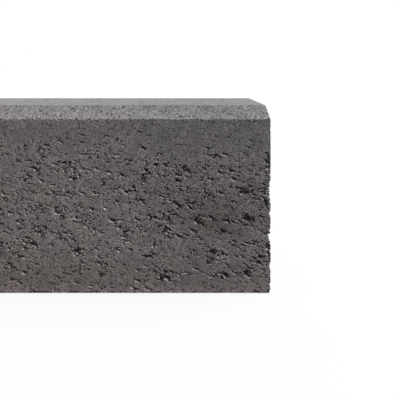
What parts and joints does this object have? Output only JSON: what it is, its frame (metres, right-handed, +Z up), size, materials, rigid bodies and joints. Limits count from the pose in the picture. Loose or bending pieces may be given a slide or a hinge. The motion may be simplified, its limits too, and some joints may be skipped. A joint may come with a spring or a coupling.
{
  "type": "concrete kerb stone",
  "caption": "Straight concrete edging kerb with a chamfer along its top front edge, set upright along the side of a path or paved area.",
  "frame": {"origin": "middle of the bed, the long narrow face that the stone stands on", "axes": "+X along the stone's length, +Y from the chamfered front face to the plain back face, +Z up from the bed to the top"},
  "size_m": [1, 0.08, 0.25],
  "materials": {
    "cast_concrete": "matt pressed anthracite concrete with open pores"
  },
  "bodies": {
    "root": {"kerb_stone": "cast_concrete"}
  },
  "joints": []
}
